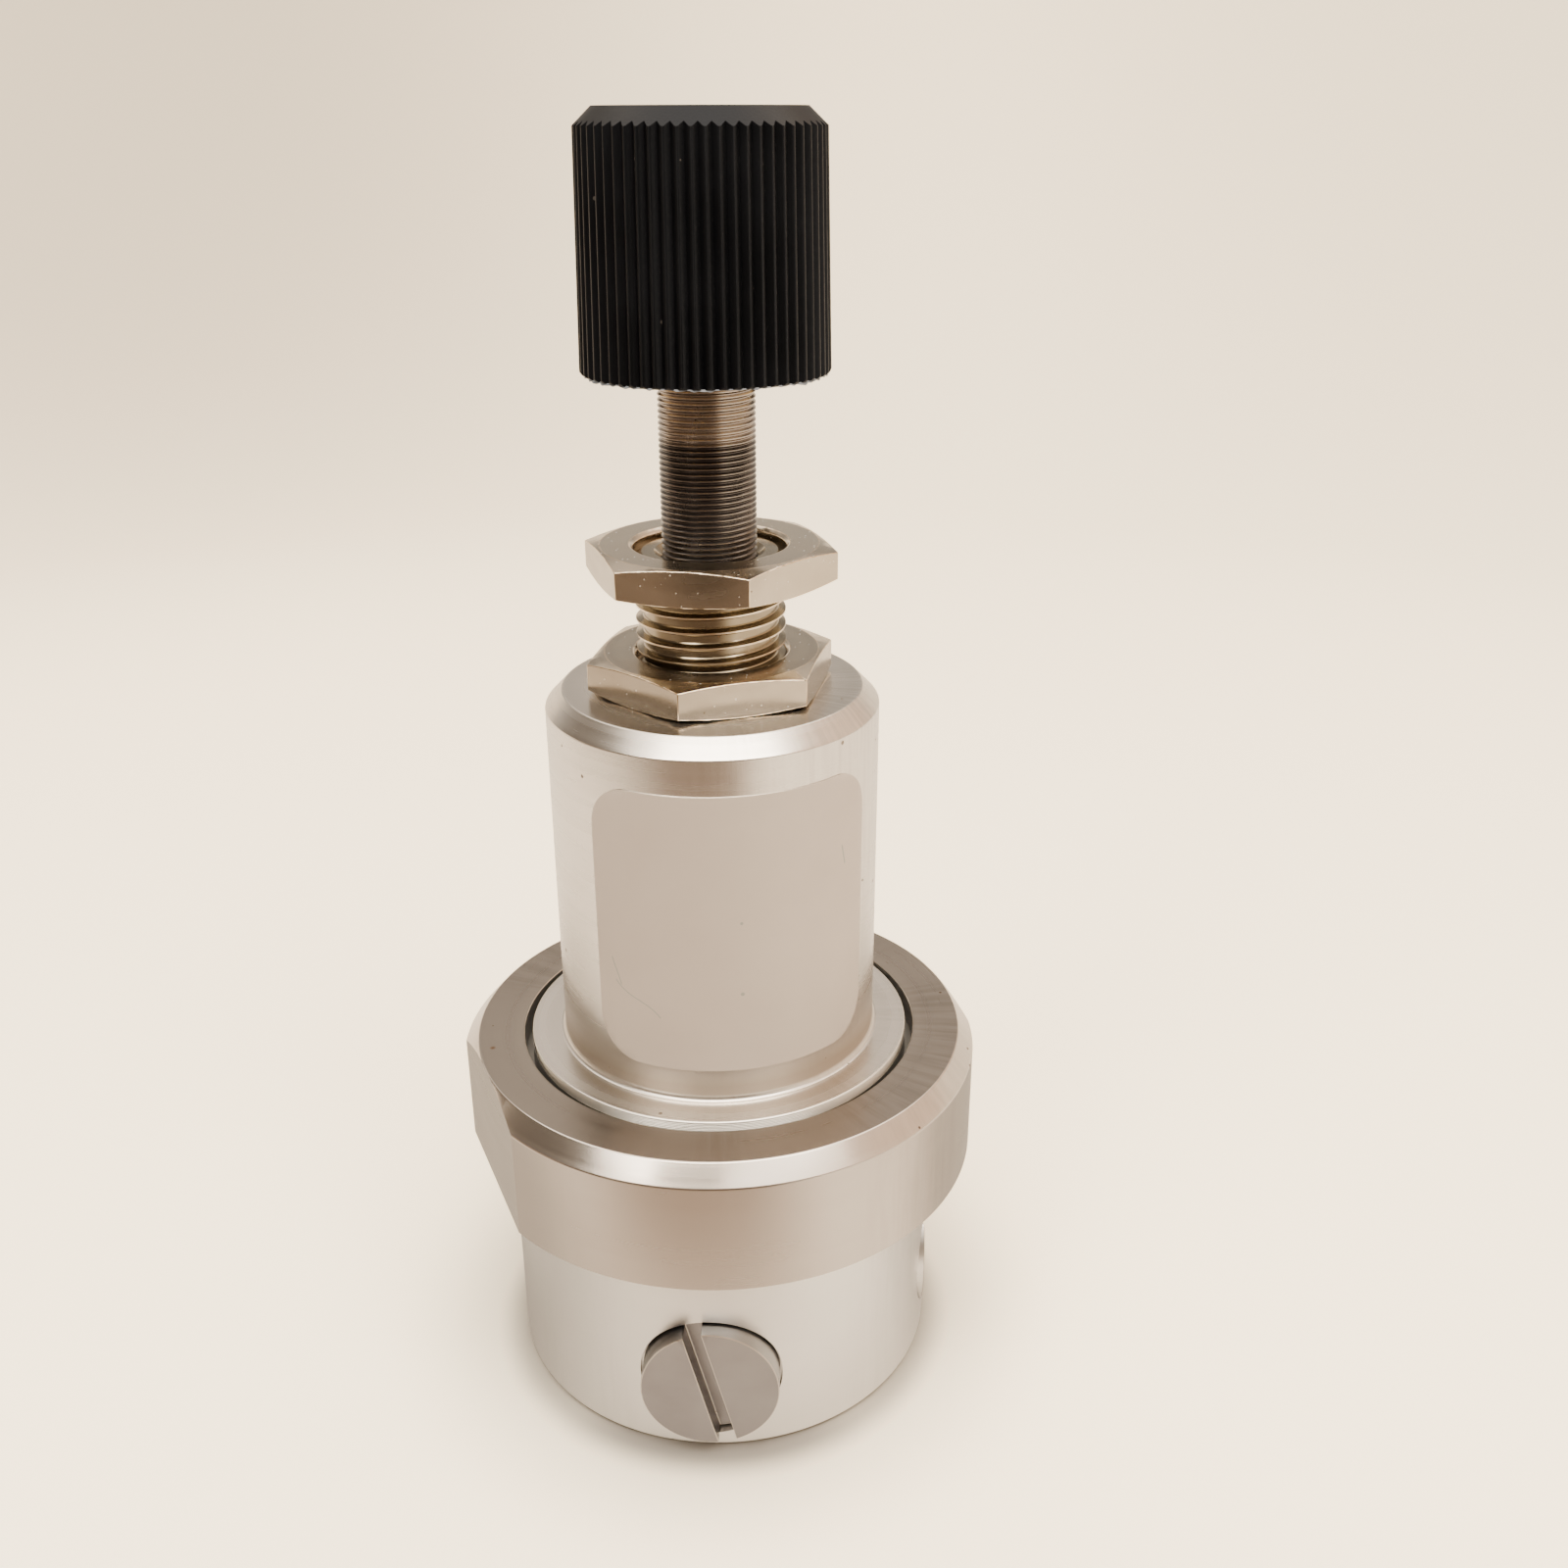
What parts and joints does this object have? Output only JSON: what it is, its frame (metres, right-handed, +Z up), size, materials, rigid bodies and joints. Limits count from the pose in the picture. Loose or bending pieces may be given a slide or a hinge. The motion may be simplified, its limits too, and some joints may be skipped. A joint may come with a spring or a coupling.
{
  "type": "air pressure regulator",
  "caption": "Panel-mounted self-relieving air pressure regulator: fluted knob on a fine screw, slim bonnet with hexagon nuts, flatted clamp ring and a round ported body.",
  "frame": {"origin": "middle of the round foot, on the surface that it stands on", "axes": "+Z up along the stem to the knob, -Y out of the front gauge port, -X out of the inlet, +Y out of the outlet"},
  "size_m": [0.0528, 0.0528, 0.124],
  "materials": {
    "body_aluminium": "fine satin turned finish",
    "bonnet_aluminium": "satin turned finish with bright edges",
    "ring_steel": "warm grey turned steel",
    "nickel_brass": "bright nickel plate over brass",
    "screw_bronze": "dull bronze, oiled thread",
    "knob_black": "matte black moulding",
    "insert_brass": "turned brass",
    "set_screw_steel": "blackened steel",
    "plug_steel": "satin machined steel",
    "spring_steel": "drawn wire",
    "plated_steel": "zinc plated",
    "ball_steel": "polished ball",
    "seal_rubber": "smooth black",
    "diaphragm_rubber": "fabric reinforced, matte",
    "slip_brass": "rolled strip",
    "label_film": "blank satin film"
  },
  "bodies": {
    "housing": {"valve_body": "body_aluminium", "clamp_ring": "ring_steel", "bonnet": "bonnet_aluminium", "label_plate": "label_film", "stem_bushing": "nickel_brass", "lower_panel_nut": "nickel_brass", "slip_ring": "slip_brass", "diaphragm": "diaphragm_rubber", "valve_seat": "insert_brass", "seat_seal": "seal_rubber", "inlet_screen": "plug_steel", "valve_retainer": "nickel_brass", "retainer_seal": "seal_rubber", "poppet_spring": "spring_steel", "front_port_plug": "plug_steel", "side_port_plug": "plug_steel"},
    "panel_nut": {"upper_panel_nut": "nickel_brass"},
    "thrust_train": {"spring_button": "plated_steel", "thrust_ball": "ball_steel"},
    "adjuster": {"adjusting_screw": "screw_bronze", "knob": "knob_black", "knob_insert": "insert_brass", "knob_set_screw": "set_screw_steel"},
    "diaphragm_stack": {"diaphragm_plate": "plated_steel", "diaphragm_hub": "insert_brass", "hub_nut": "insert_brass", "range_spring": "spring_steel"},
    "valve_poppet": {"poppet": "insert_brass", "poppet_face": "seal_rubber"}
  },
  "joints": [
    {"name": "panel_nut_travel", "type": "slide", "parent": "housing", "child": "panel_nut", "axis": [0, 0, -1], "range_m": [0, 0.0066]},
    {"name": "screw_feed", "type": "slide", "parent": "housing", "child": "thrust_train", "axis": [0, 0, -1], "range_m": [0, 0.0127], "deforming": ["range_spring"]},
    {"name": "knob_turn", "type": "hinge", "parent": "thrust_train", "child": "adjuster", "pos_m": [0, 0, 0.1], "axis": [0, 0, -1], "range_deg": [0, 9000]},
    {"name": "diaphragm_stroke", "type": "slide", "parent": "housing", "child": "diaphragm_stack", "axis": [0, 0, -1], "range_m": [0, 0.0007], "stiffness_N_per_m": 800, "springref_m": -0.002, "deforming": ["diaphragm"]},
    {"name": "poppet_lift", "type": "slide", "parent": "housing", "child": "valve_poppet", "axis": [0, 0, -1], "range_m": [0, 0.0007], "deforming": ["poppet_spring"]}
  ],
  "couplings": [
    {"joint": "knob_turn", "follows": "screw_feed", "rad_per_m": 12368},
    {"joint": "poppet_lift", "follows": "diaphragm_stroke", "ratio": 1}
  ]
}
